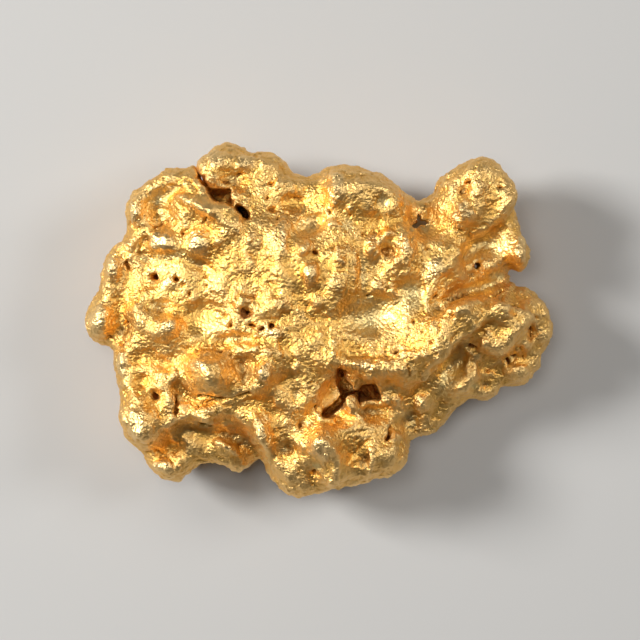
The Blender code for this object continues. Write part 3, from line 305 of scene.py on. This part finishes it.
# Cavities with crisp edges, and a hole right through: (lowest height, outline in plan)
CAVITIES = {
    "slot": (2.7, [(1.0, -3.3), (1.15, -3.0), (1.4, -3.1), (1.7, -3.05), (1.75, -3.7), (1.95, -4.15),
                   (2.15, -4.4), (2.4, -4.7), (2.35, -5.0), (2.0, -5.05), (1.6, -5.0), (1.35, -4.7),
                   (1.2, -4.5), (1.25, -4.0)]),
    "chamber": (2.2, [(2.1, -4.75), (2.5, -4.6), (2.7, -4.35), (3.0, -4.15), (3.4, -4.2), (3.65, -4.1),
                      (3.75, -4.5), (3.7, -4.75), (4.0, -4.8), (4.15, -5.1), (4.0, -5.4),
                      (3.55, -5.25), (3.2, -5.3), (2.85, -5.1), (2.75, -5.4), (2.65, -5.7),
                      (2.35, -5.6), (2.3, -5.2), (2.05, -5.0)]),
    "side_slot": (3.4, [(0.05, -6.2), (0.25, -5.95), (0.6, -5.75), (0.95, -5.4), (1.3, -5.1),
                        (1.5, -4.85), (2.0, -4.8), (1.95, -5.1), (1.75, -5.45), (1.4, -5.6),
                        (1.0, -6.05), (0.6, -6.4), (0.3, -6.35)]),
    "cleft_mouth": (2.6, [(-8.35, 10.6), (-8.25, 9.95), (-8.0, 9.5), (-7.7, 9.05), (-7.35, 8.5),
                          (-7.1, 8.6), (-7.35, 9.0), (-7.65, 9.5), (-7.95, 9.95), (-8.05, 10.6)]),
    "cleft": (3.1, [(-7.45, 8.65), (-7.2, 8.1), (-6.9, 7.75), (-6.5, 7.8), (-6.15, 7.7), (-5.75, 7.4),
                    (-5.75, 7.8), (-6.0, 8.05), (-6.2, 8.1), (-5.85, 8.3), (-5.75, 8.6),
                    (-6.0, 8.75), (-6.4, 8.5), (-6.75, 8.6), (-7.1, 8.65)]),
    "crown_pit": (4.2, [(-5.6, 7.5), (-5.25, 7.5), (-4.95, 7.3), (-4.7, 7.05), (-4.6, 6.75),
                        (-4.8, 6.5), (-5.1, 6.65), (-5.3, 7.0), (-5.55, 7.15)]),
}

# The three-lobed hole at the foot of the horn
STAR = [
    (6.07, 6.15), (6.2, 6.05), (6.4, 6.06), (6.55, 6.2), (6.7, 6.3), (6.95, 6.28), (7.1, 6.38),
    (7.12, 6.5), (6.98, 6.62), (6.75, 6.62), (6.66, 6.68), (6.7, 6.82), (6.62, 6.95),
    (6.5, 7.05), (6.42, 6.95), (6.46, 6.8), (6.4, 6.65), (6.48, 6.5), (6.36, 6.42),
    (6.12, 6.36),
]
CUTTER_TOP = 13.0
STAR_LOW = -1.0

# Colours of the gold, as linear red, green and blue
# PALE_GOLD goes on raised places and MID_GOLD towards sunk places, mixed with random patches; the deeper gold
# towards sunk places is painted shade
PALE_GOLD = (1.0, 0.655, 0.25, 1.0)
MID_GOLD = (0.93, 0.53, 0.12, 1.0)
# Painted highlight: paler gold for the bright spots
PAINTED_HIGHLIGHT_GOLD = (1.0, 0.70, 0.31, 1.0)
SMOOTH_GOLD = (0.90, 0.69, 0.30, 1.0)
# Painted shade in the creases
CREASE_SHADE_GOLD = (0.45, 0.21, 0.04, 1.0)
# Painted bounce light in the hollows, and an orange tint elsewhere
ORANGE_BOUNCE_GOLD = (0.87, 0.49, 0.12, 1.0)
# Painted shade deep in the cavities
CAVERN_SHADE_GOLD = (0.42, 0.15, 0.025, 1.0)
# Darkest painted shade, deep in the cavities and in the pits and slits
DEEP_SHADE = (0.19, 0.06, 0.012, 1.0)

# Noise in the gold: (wavelength, detail, roughness)
PATCHES = (2.6, 3.0, 0.55)
SPECKS = (0.5, 4.0, 0.7)
COARSE = (0.5, 4.0, 0.65)
FINE = (0.24, 2.0, 0.55)
CELL_SIZE = 0.22

# Height of each kind of bump
COARSE_BUMP = 0.1
FINE_BUMP = 0.115
CELL_BUMP = 0.04

# Where a colour starts and where it is full, and how much of it there is at each end
RAISED_LIMITS = (0.95, 0.45)
SMOOTH_LIMITS = (0.25, 0.5)
ORANGE_BOUNCE_LIMITS = (0.4, 0.65, 0.0, 0.4)
CREASE_SHADE_LIMITS = (0.58, 0.85, 0.0, 0.85)
CAVERN_SHADE_LIMITS = (0.0, 0.5)
CAVERN_DEEP_SHADE_LIMITS = (0.4, 1.0)
PIT_SHADE_LIMITS = (0.15, 0.75, 0.0, 0.95)
PATCH_SHARE = 0.5
PAINTED_HIGHLIGHT_SHARE = 0.8

# Roughness over the specks, what wear takes off it, and the bump that smooth areas keep
ROUGHNESS_LIMITS = (0.3, 0.7, 0.36, 0.52)
WORN_POLISH = 0.06
CALM_LIMITS = (0.0, 1.0, 1.0, 0.3)

# The floor: half its side in metres, its colour and its roughness
FLOOR_HALF = 3.0
FLOOR_COLOUR = (0.56, 0.55, 0.53, 1.0)
FLOOR_ROUGHNESS = 0.9

# Square soft lights: (name, place and side in metres, power in watts)
LIGHTS = [
    ("key", (-0.27, 0.08, 0.21), 0.10, 1.28),
    ("fill", (0.26, 0.10, 0.24), 0.12, 0.4),
    ("top", (-0.06, 0.05, 0.50), 0.16, 0.56),
]
WORLD_COLOUR = (1.0, 0.94, 0.87, 1.0)
WORLD_STRENGTH = 0.055

# The camera: focal length and sensor in millimetres, nearest distance in metres
FOCAL_LENGTH = 200.0
SENSOR_WIDTH = 36.0
NEAREST = 0.01


def grid_of(points):
    """Vertex places as a plain array in table millimetres, from the middle of the picture."""
    placed = points / MM
    placed[:, 0] -= PICTURE_MIDDLE[0]
    placed[:, 1] -= PICTURE_MIDDLE[1]
    return placed


def line_distance(plan, points):
    """Distance of each place in plan from a line of points."""
    best = np.full(len(plan), np.inf)
    ends = np.asarray(points, float)
    for start, end in zip(ends[:-1], ends[1:]):
        run = end - start
        length = np.linalg.norm(run)
        heading = run / length
        offset = plan - start
        reach = np.clip(offset @ heading, 0.0, length)
        away = offset - reach[:, None] * heading
        best = np.minimum(best, np.hypot(away[:, 0], away[:, 1]))
    return best


def oval_distance(plan, x, y, half_length, half_width, turn):
    """0 in the middle of an oval and 1 on its edge."""
    angle = math.radians(turn)
    dx = plan[:, 0] - x
    dy = plan[:, 1] - y
    u = (dx * math.cos(angle) + dy * math.sin(angle)) / half_length
    v = (dy * math.cos(angle) - dx * math.sin(angle)) / half_width
    return np.hypot(u, v)


def inside(plan, outline):
    """Which places in plan lie inside a closed outline."""
    ends = np.asarray(outline, float)
    within = np.zeros(len(plan), bool)
    for (x0, y0), (x1, y1) in zip(ends, np.roll(ends, -1, axis=0)):
        if y0 == y1:
            continue
        crossing = x0 + (plan[:, 1] - y0) * (x1 - x0) / (y1 - y0)
        beside = (y0 > plan[:, 1]) != (y1 > plan[:, 1])
        within ^= beside & (plan[:, 0] < crossing)
    return within


def dome(distance):
    """1 in the middle, falling roundly to 0 at distance 1."""
    return np.clip(1.0 - distance**2, 0.0, None)


def bowl(distance):
    """1 over a flat floor, falling steeply to 0 at distance 1."""
    inward = np.clip(BOWL_STEEPNESS * (1.0 - distance), 0.0, 1.0)
    return inward * inward * (3.0 - 2.0 * inward)


class Skin:
    """The fine mesh as arrays: places in millimetres, normals and neighbouring pairs."""

    def __init__(self, obj):
        self.obj = obj
        mesh = obj.data
        self.count = len(mesh.vertices)
        pairs = np.empty(len(mesh.edges) * 2, np.int64)
        mesh.edges.foreach_get("vertices", pairs)
        self.pairs = pairs.reshape(-1, 2)
        self.degree = np.bincount(pairs, minlength=self.count).astype(float)
        self.read()

    def read(self):
        mesh = self.obj.data
        places = np.empty(self.count * 3)
        mesh.vertices.foreach_get("co", places)
        self.points = grid_of(places.reshape(-1, 3))
        normals = np.empty(self.count * 3)
        mesh.vertex_normals.foreach_get("vector", normals)
        self.normals = normals.reshape(-1, 3)

    def push(self, heights):
        """Moves every point along its normal, but never below the floor."""
        self.points = self.points + self.normals * heights[:, None]
        self.write()

    def write(self):
        self.points[:, 2] = np.maximum(self.points[:, 2], 0.0)
        places = self.points.copy()
        places[:, 0] += PICTURE_MIDDLE[0]
        places[:, 1] += PICTURE_MIDDLE[1]
        self.obj.data.vertices.foreach_set("co", (places * MM).ravel())
        self.obj.data.update()
        self.read()

    def blurred(self, values, rounds):
        """A value, or a row of values, averaged over neighbours a number of times."""
        rows = values.reshape(self.count, -1).copy()
        first, second = self.pairs[:, 0], self.pairs[:, 1]
        for _ in range(rounds):
            for column in range(rows.shape[1]):
                value = rows[:, column]
                total = np.bincount(first, value[second], self.count)
                total += np.bincount(second, value[first], self.count)
                rows[:, column] = 0.5 * value + 0.5 * total / self.degree
        return rows.reshape(values.shape)

    def store(self, name, values):
        attribute = self.obj.data.attributes.new(name, "FLOAT", "POINT")
        attribute.data.foreach_set("value", values.astype(np.float32))


def prism(name, outline, low, high):
    """Closed solid between two heights over an outline in plan."""
    shape = bmesh.new()
    foot = [
        shape.verts.new(
            ((x + PICTURE_MIDDLE[0]) * MM, (y + PICTURE_MIDDLE[1]) * MM, low * MM)
        )
        for x, y in outline
    ]
    face = shape.faces.new(foot)
    grown = bmesh.ops.extrude_face_region(shape, geom=[face])["geom"]
    top = [item for item in grown if isinstance(item, bmesh.types.BMVert)]
    bmesh.ops.translate(shape, verts=top, vec=(0.0, 0.0, (high - low) * MM))
    bmesh.ops.recalc_face_normals(shape, faces=shape.faces)
    mesh = bpy.data.meshes.new(name)
    shape.to_mesh(mesh)
    shape.free()
    obj = bpy.data.objects.new(name, mesh)
    bpy.context.scene.collection.objects.link(obj)
    return obj


def apply_modifiers(obj, cutters=()):
    """Turns the object with its modifiers into a plain mesh and removes its cutters."""
    graph = bpy.context.evaluated_depsgraph_get()
    mesh = bpy.data.meshes.new_from_object(obj.evaluated_get(graph))
    obj.modifiers.clear()
    obj.data = mesh
    mesh.shade_smooth()
    for cutter in cutters:
        bpy.data.objects.remove(cutter)


def add_remesh(obj):
    remesh = obj.modifiers.new("Fine faces", "REMESH")
    remesh.mode = "VOXEL"
    remesh.voxel_size = SKIN_VOXEL * MM


def add_smooth(obj, rounds):
    smooth = obj.modifiers.new("Smooth facets", "SMOOTH")
    smooth.factor = SMOOTH_FACTOR
    smooth.iterations = rounds


def add_cut(obj, name, outline, low):
    cutter = prism(name, outline, low, CUTTER_TOP)
    cut = obj.modifiers.new(name, "BOOLEAN")
    cut.operation = "DIFFERENCE"
    cut.solver = "MANIFOLD"
    cut.object = cutter
    return cutter


def fine_copy(node):
    """A fine copy of a CAD node, its facets smoothed and its cavities cut crisply."""
    obj = bpy.data.objects.new("nugget_skin", node.data.copy())
    bpy.context.scene.collection.objects.link(obj)
    add_remesh(obj)
    add_smooth(obj, FACET_SMOOTHING)
    cutters = [add_cut(obj, name, outline, low) for name, (low, outline) in CAVITIES.items()]
    add_remesh(obj)
    add_smooth(obj, EDGE_SMOOTHING)
    apply_modifiers(obj, cutters)
    return obj


def feature_relief(skin, upward):
    """Small forms placed on the upper side, and how hollow it is, where orange and painted bounce light go,
    where it is worn and painted with highlights, and how much painted shade its pits and slits get.
    """
    wavelength, reach = WOBBLE
    wobble = [
        noise.noise_vector(Vector(place) + WOBBLE_SEED) for place in skin.points / wavelength
    ]
    plan = skin.points[:, :2] + reach * np.array(wobble)[:, :2]
    height = np.zeros(skin.count)
    hollow = np.zeros(skin.count)
    orange_and_bounce = np.zeros(skin.count)
    wear_and_highlight = np.zeros(skin.count)
    pit = np.zeros(skin.count)
    for x, y, half_length, half_width, turn, rise in LUMPS:
        height += LUMP_RISE * rise * dome(oval_distance(plan, x, y, half_length, half_width, turn))
    for x, y, half_length, half_width, turn, rise in HOLLOWS:
        share = dome(oval_distance(plan, x, y, half_length, half_width, turn) / SPREAD)
        height += HOLLOW_DEPTH * rise * share
        hollow = np.maximum(hollow, share)
    # Where orange goes: mostly painted bounce light in the hollows
    for x, y, half_length, half_width, turn in ORANGE_AND_BOUNCE:
        share = dome(oval_distance(plan, x, y, half_length, half_width, turn) / SPREAD)
        orange_and_bounce = np.maximum(orange_and_bounce, share)
    # Bright spots, raised and polished as wear and painted paler as highlights
    for oval in HIGHLIGHT_AND_WEAR:
        wear_and_highlight = np.maximum(wear_and_highlight, bowl(oval_distance(plan, *oval)))
    height += WORN_RISE * wear_and_highlight
    for half_width, rise, points in RIDGES:
        height += RIDGE_RISE * rise * dome(line_distance(plan, points) / half_width)
    for x, y, half_length, half_width, turn, depth in PITS:
        share = bowl(oval_distance(plan, x, y, half_length, half_width, turn))
        height -= depth * share
        # How much painted shade the pit gets, by its depth
        pit = np.maximum(pit, share * min(1.0, depth / FULLY_SHADED))
    for half_width, depth, points in SLITS:
        share = bowl(line_distance(plan, points) / half_width)
        height -= SLIT_DEPTH * depth * share
        # How much painted shade the slit gets
        pit = np.maximum(pit, SLIT_SHADE * share * depth / FULLY_SHADED)
    shares = {"hollow": hollow * upward, "orange_and_bounce": orange_and_bounce * upward, "wear_and_highlight": wear_and_highlight * upward}
    shares["pit"] = pit * (skin.points[:, 2] > RIM_HEIGHT - UPPER_REACH)
    return height * upward, shares


def cavern_depth(skin):
    """How far down in a cavity each point is, from 0 at its mouth to 1."""
    plan = skin.points[:, :2]
    height = skin.points[:, 2]
    depth = np.zeros(skin.count)
    for _, outline in CAVITIES.values():
        gap = line_distance(plan, outline + outline[:1])
        within = inside(plan, outline) | (gap < CAVERN_WALL)
        mouth = np.median(height[(gap < CAVERN_WALL) & (skin.normals[:, 2] > MOUTH_FACING)])
        share = np.clip((mouth - height - CAVERN_START) / CAVERN_DEPTH, 0.0, 1.0)
        depth = np.maximum(depth, share * within)
    return depth


def calm_share(plan):
    """How smooth the skin is at each place."""
    calm = np.zeros(len(plan))
    for *oval, smoothness in CALM:
        share = np.clip(CALM_EDGE * dome(oval_distance(plan, *oval)), 0.0, 1.0)
        calm = np.maximum(calm, smoothness * share)
    return calm


def noise_at(places, wavelength):
    return np.array([noise.noise(Vector(place)) for place in places / wavelength])


def warped(places):
    """Places shifted about by slow noise, so that lumps and creases aren't regular."""
    wavelength, reach = WARP
    shift = np.array(
        [noise.noise_vector(Vector(place) + WARP_SEED) for place in places / wavelength]
    )
    return places + reach * shift


def planes(places):
    """Small flat planes that tilt every way and meet in sharp creases."""
    rng = np.random.default_rng(SEED)
    low, high = np.array(PLANES_BOX)
    span = high - low
    count = int(np.prod(span) / PLANES_CELL**3)
    seeds = low + rng.random((count, 3)) * span
    tilts = rng.normal(size=(count, 3))
    tree = kdtree.KDTree(count)
    for index, seed in enumerate(seeds):
        tree.insert(seed, index)
    tree.balance()
    nearest = np.array([tree.find(place)[1] for place in places])
    return PLANES_SLOPE * np.einsum("ij,ij->i", places - seeds[nearest], tilts[nearest])


def crumple(places, upper_share, calm):
    """Height of the crumpled skin: rounded lumps, creased planes and grain."""
    moved = warped(places)
    height = np.zeros(len(places))
    for wavelength, upper, lower in LUMPY:
        wave = np.abs(noise_at(moved, wavelength))
        height += (lower + (upper - lower) * upper_share) * (wave - wave.mean())
    height += np.clip(planes(moved), -PLANES_LIMIT, PLANES_LIMIT)
    height *= 1.0 - calm
    for wavelength, rise in GRAIN:
        height += rise * (1.0 - (1.0 - GRAIN_IN_CALM) * calm) * noise_at(places, wavelength)
    return height


def finish_mesh(obj):
    """Cuts the star-shaped hole and leaves out the points that matter least."""
    cutter = add_cut(obj, "star", STAR, STAR_LOW)
    obj.data.calc_loop_triangles()
    thin = obj.modifiers.new("Fewer faces", "DECIMATE")
    thin.ratio = min(1.0, SKIN_TRIANGLES / len(obj.data.loop_triangles))
    apply_modifiers(obj, [cutter])


def make_skin(node):
    """The nugget's fine skin, with what its gold is coloured by stored on its points."""
    obj = fine_copy(node)
    skin = Skin(obj)
    upward = np.clip((skin.normals[:, 2] - FACING_START) / FACING_SPAN, 0.0, 1.0)
    upward *= skin.points[:, 2] > RIM_HEIGHT - UPPER_REACH
    cavern = cavern_depth(skin)
    upward *= 1.0 - cavern
    height, shares = feature_relief(skin, upward)
    calm = calm_share(skin.points[:, :2]) * upward
    skin.push(height + crumple(skin.points, upward, calm))
    smooth_shape = skin.blurred(skin.points, SHAPE_ROUNDS)
    sunk = np.einsum("ij,ij->i", smooth_shape - skin.points, skin.normals)
    skin.store("sunk", np.clip(0.5 + sunk / SUNK_SPAN, 0.0, 1.0))
    for name, share in shares.items():
        skin.store(name, share)
    skin.store("cavern", cavern)
    skin.store("calm", calm)
    finish_mesh(obj)
    return obj


class Shader:
    """A node tree that is written as a chain of small calls."""

    def __init__(self, name):
        self.material = bpy.data.materials.new(name)
        self.material.use_nodes = True
        self.tree = self.material.node_tree
        self.principled = self.tree.nodes["Principled BSDF"]

    def node(self, kind, **settings):
        made = self.tree.nodes.new(kind)
        for key, value in settings.items():
            setattr(made, key, value)
        return made

    def link(self, source, target):
        self.tree.links.new(source, target)

    def attribute(self, name):
        return self.node("ShaderNodeAttribute", attribute_name=name).outputs["Fac"]

    def noise(self, wavelength, detail, roughness):
        """Noise over the object's own coordinates, with its wavelength in millimetres."""
        made = self.node("ShaderNodeTexNoise")
        made.inputs["Scale"].default_value = 1.0 / (wavelength * MM)
        made.inputs["Detail"].default_value = detail
        made.inputs["Roughness"].default_value = roughness
        coordinates = self.node("ShaderNodeTexCoord")
        self.link(coordinates.outputs["Object"], made.inputs["Vector"])
        return made.outputs["Fac"]

    def cells(self, size):
        """Cells that rise to their middles and meet in sharp creases."""
        made = self.node("ShaderNodeTexVoronoi")
        made.inputs["Scale"].default_value = 1.0 / (size * MM)
        coordinates = self.node("ShaderNodeTexCoord")
        self.link(coordinates.outputs["Object"], made.inputs["Vector"])
        return self.math("SUBTRACT", 1.0, made.outputs["Distance"])

    def remap(self, value, low, high, to_low=0.0, to_high=1.0):
        made = self.node("ShaderNodeMapRange", interpolation_type="SMOOTHSTEP")
        made.inputs["From Min"].default_value = low
        made.inputs["From Max"].default_value = high
        made.inputs["To Min"].default_value = to_low
        made.inputs["To Max"].default_value = to_high
        self.link(value, made.inputs["Value"])
        return made.outputs["Result"]

    def math(self, operation, first, second):
        made = self.node("ShaderNodeMath", operation=operation)
        for socket, value in zip(made.inputs, (first, second)):
            if isinstance(value, float):
                socket.default_value = value
            else:
                self.link(value, socket)
        return made.outputs["Value"]

    def mix(self, share, first, second):
        made = self.node("ShaderNodeMix", data_type="RGBA")
        self.link(share, made.inputs["Factor"])
        for name, value in (("A", first), ("B", second)):
            socket = next(s for s in made.inputs if s.name == name and s.type == "RGBA")
            if isinstance(value, tuple):
                socket.default_value = value
            else:
                self.link(value, socket)
        return next(s for s in made.outputs if s.type == "RGBA")

    def bump(self, height, distance, under=None):
        made = self.node("ShaderNodeBump")
        made.inputs["Distance"].default_value = distance * MM
        self.link(height, made.inputs["Height"])
        if under is not None:
            self.link(under, made.inputs["Normal"])
        return made.outputs["Normal"]


def native_gold():
    """Gold in random paler and deeper patches and duller in the hollows, with painted light and shade: deeper
    towards sunk places, dark in the creases, cavities and pits, orange bounce light in the hollows and paler
    highlights on the worn spots.
    """
    shader = Shader("native_gold")
    sunk = shader.attribute("sunk")
    hollow = shader.attribute("hollow")
    pit = shader.attribute("pit")
    patches = shader.noise(*PATCHES)
    specks = shader.noise(*SPECKS)
    patchy = shader.math("MULTIPLY", patches, PATCH_SHARE)
    # Paler on raised places and deeper towards sunk places: random patches plus painted shade
    raised = shader.remap(shader.math("ADD", sunk, patchy), *RAISED_LIMITS)
    colour = shader.mix(raised, MID_GOLD, PALE_GOLD)
    wear_and_highlight = shader.attribute("wear_and_highlight")
    # Painted highlight: paler gold on the bright spots, which are also polished as wear
    colour = shader.mix(shader.math("MULTIPLY", wear_and_highlight, PAINTED_HIGHLIGHT_SHARE), colour, PAINTED_HIGHLIGHT_GOLD)
    smooth = shader.math("MULTIPLY", hollow, shader.remap(patches, *SMOOTH_LIMITS))
    colour = shader.mix(smooth, colour, SMOOTH_GOLD)
    # Painted bounce light: orange in the hollows, speckled with noise
    speckled = shader.remap(specks, *ORANGE_BOUNCE_LIMITS)
    orange_and_bounce = shader.math("MULTIPLY", shader.attribute("orange_and_bounce"), speckled)
    colour = shader.mix(orange_and_bounce, colour, ORANGE_BOUNCE_GOLD)
    # Painted shade: dark brown in the creases
    colour = shader.mix(shader.remap(sunk, *CREASE_SHADE_LIMITS), colour, CREASE_SHADE_GOLD)
    cavern = shader.attribute("cavern")
    # Painted shade in the cavities, darkest furthest down
    colour = shader.mix(shader.remap(cavern, *CAVERN_SHADE_LIMITS), colour, CAVERN_SHADE_GOLD)
    colour = shader.mix(shader.remap(cavern, *CAVERN_DEEP_SHADE_LIMITS), colour, DEEP_SHADE)
    # Painted shade in the pits and slits
    colour = shader.mix(shader.remap(pit, *PIT_SHADE_LIMITS), colour, DEEP_SHADE)
    shader.link(colour, shader.principled.inputs["Base Color"])
    shader.principled.inputs["Metallic"].default_value = 1.0
    dull = shader.remap(specks, *ROUGHNESS_LIMITS)
    dull = shader.math("SUBTRACT", dull, shader.math("MULTIPLY", wear_and_highlight, WORN_POLISH))
    shader.link(dull, shader.principled.inputs["Roughness"])
    rough = shader.remap(shader.attribute("calm"), *CALM_LIMITS)
    coarse = shader.math("MULTIPLY", shader.noise(*COARSE), rough)
    grain = shader.math("MULTIPLY", shader.noise(*FINE), rough)
    normal = shader.bump(coarse, COARSE_BUMP)
    normal = shader.bump(grain, FINE_BUMP, normal)
    normal = shader.bump(shader.cells(CELL_SIZE), CELL_BUMP, normal)
    shader.link(normal, shader.principled.inputs["Normal"])
    return shader.material


def floor():
    """A plain pale floor that the nugget lies on."""
    half = FLOOR_HALF
    mesh = bpy.data.meshes.new("floor")
    corners = [(-half, -half, 0.0), (half, -half, 0.0), (half, half, 0.0), (-half, half, 0.0)]
    mesh.from_pydata(corners, [], [(0, 1, 2, 3)])
    obj = bpy.data.objects.new("floor", mesh)
    bpy.context.scene.collection.objects.link(obj)
    material = bpy.data.materials.new("floor")
    material.use_nodes = True
    shader = material.node_tree.nodes["Principled BSDF"]
    shader.inputs["Base Color"].default_value = FLOOR_COLOUR
    shader.inputs["Roughness"].default_value = FLOOR_ROUGHNESS
    mesh.materials.append(material)


def softbox(name, place, size, power):
    """A square soft light that faces the nugget."""
    light = bpy.data.lights.new(name, "AREA")
    light.shape = "SQUARE"
    light.size = size
    light.energy = power
    obj = bpy.data.objects.new(name, light)
    obj.location = place
    obj.rotation_euler = (-Vector(place)).to_track_quat("-Z", "Y").to_euler()
    bpy.context.scene.collection.objects.link(obj)


def studio():
    """Three soft lights in a dim warm world."""
    for light in LIGHTS:
        softbox(*light)
    world = bpy.data.worlds.new("studio")
    world.use_nodes = True
    background = world.node_tree.nodes["Background"]
    background.inputs["Color"].default_value = WORLD_COLOUR
    background.inputs["Strength"].default_value = WORLD_STRENGTH
    bpy.context.scene.world = world


def camera():
    """Straight above, with a long lens, so that the picture's span fits at the rim."""
    lens = bpy.data.cameras.new("camera")
    lens.lens = FOCAL_LENGTH
    lens.sensor_width = SENSOR_WIDTH
    lens.clip_start = NEAREST
    obj = bpy.data.objects.new("camera", lens)
    away = PICTURE_SPAN / SENSOR_WIDTH * FOCAL_LENGTH
    obj.location = (PICTURE_MIDDLE[0] * MM, PICTURE_MIDDLE[1] * MM, (RIM_HEIGHT + away) * MM)
    bpy.context.scene.collection.objects.link(obj)
    bpy.context.scene.camera = obj


def main():
    # Without a seed the vector noise would differ with each start
    noise.seed_set(SEED)
    skin = make_skin(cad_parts["nugget"])
    skin.data.materials.clear()
    skin.data.materials.append(native_gold())
    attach(skin, "root")
    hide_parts("nugget")
    floor()
    studio()
    camera()
    bpy.context.scene.view_settings.view_transform = "Standard"


main()
